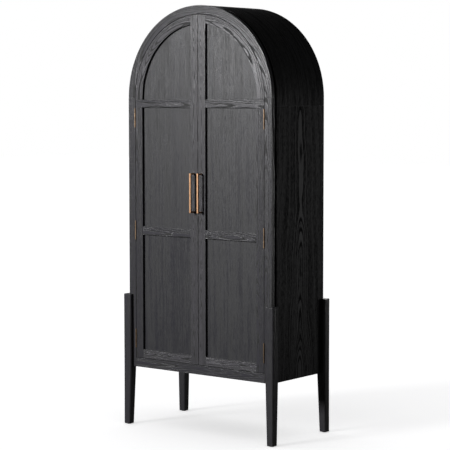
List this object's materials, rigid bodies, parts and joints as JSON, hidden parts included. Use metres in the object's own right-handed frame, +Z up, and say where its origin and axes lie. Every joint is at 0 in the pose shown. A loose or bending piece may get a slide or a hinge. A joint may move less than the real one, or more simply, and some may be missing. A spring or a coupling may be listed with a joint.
{
  "type": "arched storage cabinet",
  "caption": "Tall arch-topped storage cabinet with inset framed doors, bar handles, butt hinges, fixed shelves and corner posts that wrap the carcass as legs.",
  "frame": {"origin": "on the floor at the middle of the whole cabinet's footprint, handles included", "axes": "+X to the cabinet's right as one faces its doors, +Y to its back, +Z up"},
  "size_m": [1.028, 0.53, 2.286],
  "materials": {
    "oak": "open-grain black oak, matt lacquer",
    "oak_panel": "fine-grain black oak veneer, matt lacquer",
    "oak_inside": "black oak veneer inside, matt",
    "brass": "satin light brass",
    "hinge_brass": "antique brown brass",
    "steel": "zinc plated",
    "catch_plastic": "black moulded",
    "glide_plastic": "black moulded"
  },
  "bodies": {
    "cabinet": {"face_arch": "oak", "face_stile_left": "oak", "face_stile_right": "oak", "face_bottom_rail": "oak", "stop_frame": "oak", "arch_shell": "oak", "side_panel_left": "oak", "side_panel_right": "oak", "back_panel": "oak_inside", "bottom_board": "oak_inside", "lower_shelf": "oak_inside", "middle_shelf": "oak_inside", "upper_shelf": "oak_inside", "top_shelf": "oak_inside", "leg_front_left": "oak", "leg_front_right": "oak", "leg_back_left": "oak", "leg_back_right": "oak", "foot_glide_front_left": "glide_plastic", "foot_glide_front_right": "glide_plastic", "foot_glide_back_left": "glide_plastic", "foot_glide_back_right": "glide_plastic", "frame_hinge_leaf_lower_left": "hinge_brass", "frame_hinge_leaf_lower_right": "hinge_brass", "frame_hinge_leaf_middle_left": "hinge_brass", "frame_hinge_leaf_middle_right": "hinge_brass", "frame_hinge_leaf_upper_left": "hinge_brass", "frame_hinge_leaf_upper_right": "hinge_brass", "magnetic_catch": "catch_plastic"},
    "left_door": {"hinge_stile_left": "oak", "meeting_stile_left": "oak", "arch_rail_left": "oak", "transom_left": "oak", "mid_rail_left": "oak", "bottom_rail_left": "oak", "lower_panel_left": "oak_panel", "middle_panel_left": "oak_panel", "top_panel_left": "oak_panel", "handle_left": "brass", "strike_left": "steel", "door_hinge_leaf_lower_left": "hinge_brass", "door_hinge_leaf_middle_left": "hinge_brass", "door_hinge_leaf_upper_left": "hinge_brass"},
    "right_door": {"hinge_stile_right": "oak", "meeting_stile_right": "oak", "arch_rail_right": "oak", "transom_right": "oak", "mid_rail_right": "oak", "bottom_rail_right": "oak", "lower_panel_right": "oak_panel", "middle_panel_right": "oak_panel", "top_panel_right": "oak_panel", "handle_right": "brass", "strike_right": "steel", "door_hinge_leaf_lower_right": "hinge_brass", "door_hinge_leaf_middle_right": "hinge_brass", "door_hinge_leaf_upper_right": "hinge_brass"}
  },
  "joints": [
    {"name": "left_door_swing", "type": "hinge", "parent": "cabinet", "child": "left_door", "pos_m": [-0.4395, -0.2285, 1.0785], "axis": [0, 0, -1], "range_deg": [0, 120]},
    {"name": "right_door_swing", "type": "hinge", "parent": "cabinet", "child": "right_door", "pos_m": [0.4395, -0.2285, 1.0785], "axis": [0, 0, 1], "range_deg": [0, 120]}
  ]
}
